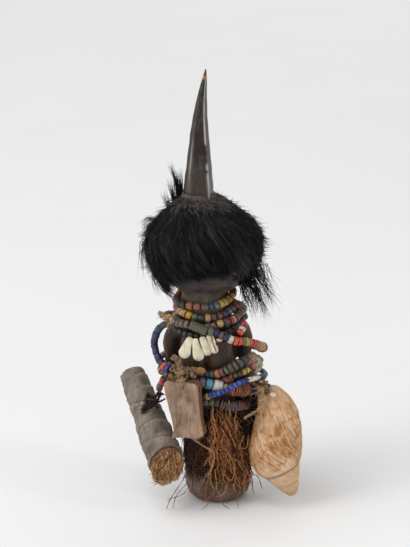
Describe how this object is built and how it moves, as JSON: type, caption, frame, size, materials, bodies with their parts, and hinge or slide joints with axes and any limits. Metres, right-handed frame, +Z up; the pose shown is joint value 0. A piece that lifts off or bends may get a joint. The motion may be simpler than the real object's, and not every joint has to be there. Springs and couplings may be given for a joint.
{
  "type": "carved power figure",
  "caption": "Carved wooden figure with a horn, a long-haired fur cap, bead strands, shell pendants, a packet, a hide roll, a snail shell and a fibre skirt, standing on a round base.",
  "frame": {"origin": "centre of the flat underside of the round base", "axes": "+Z up, -Y the way the figure faces, +X to its left hand, the viewer's right"},
  "size_m": [0.1444, 0.1016, 0.3485],
  "materials": {
    "carved_figure": "satin",
    "horn": "polished",
    "fur_cap": "matte",
    "neck_strand_upper": "satin",
    "neck_strand_middle": "satin",
    "neck_strand_lower": "satin",
    "chest_strand": "satin",
    "pendant_strand": "satin",
    "shell_pendant_1": "satin",
    "shell_pendant_2": "satin",
    "shell_pendant_3": "satin",
    "shell_pendant_4": "satin",
    "red_white_strand": "gloss",
    "blue_arm_loop": "satin",
    "side_strand": "satin",
    "waist_strand_top": "satin",
    "waist_strand_short": "satin",
    "waist_strand_discs": "satin",
    "waist_strand_blue": "satin",
    "waist_strand_low": "satin",
    "shoulder_knot": "matte",
    "waist_knot": "matte",
    "packet": "matte",
    "packet_tie": "matte",
    "bundle_wrap": "matte",
    "bundle_filling": "matte",
    "bundle_tie": "matte",
    "snail_shell": "satin",
    "shell_tie": "matte",
    "fibre_skirt": "matte"
  },
  "bodies": {
    "root": {"carved_figure": "carved_figure", "horn": "horn", "fur_cap": "fur_cap", "neck_strand_upper": "neck_strand_upper", "neck_strand_middle": "neck_strand_middle", "neck_strand_lower": "neck_strand_lower", "chest_strand": "chest_strand", "pendant_strand": "pendant_strand", "shell_pendant_1": "shell_pendant_1", "shell_pendant_2": "shell_pendant_2", "shell_pendant_3": "shell_pendant_3", "shell_pendant_4": "shell_pendant_4", "red_white_strand": "red_white_strand", "blue_arm_loop": "blue_arm_loop", "side_strand": "side_strand", "waist_strand_top": "waist_strand_top", "waist_strand_short": "waist_strand_short", "waist_strand_discs": "waist_strand_discs", "waist_strand_blue": "waist_strand_blue", "waist_strand_low": "waist_strand_low", "shoulder_knot": "shoulder_knot", "waist_knot": "waist_knot", "packet": "packet", "packet_tie": "packet_tie", "bundle_wrap": "bundle_wrap", "bundle_filling": "bundle_filling", "bundle_tie": "bundle_tie", "snail_shell": "snail_shell", "shell_tie": "shell_tie", "fibre_skirt": "fibre_skirt"}
  },
  "joints": []
}
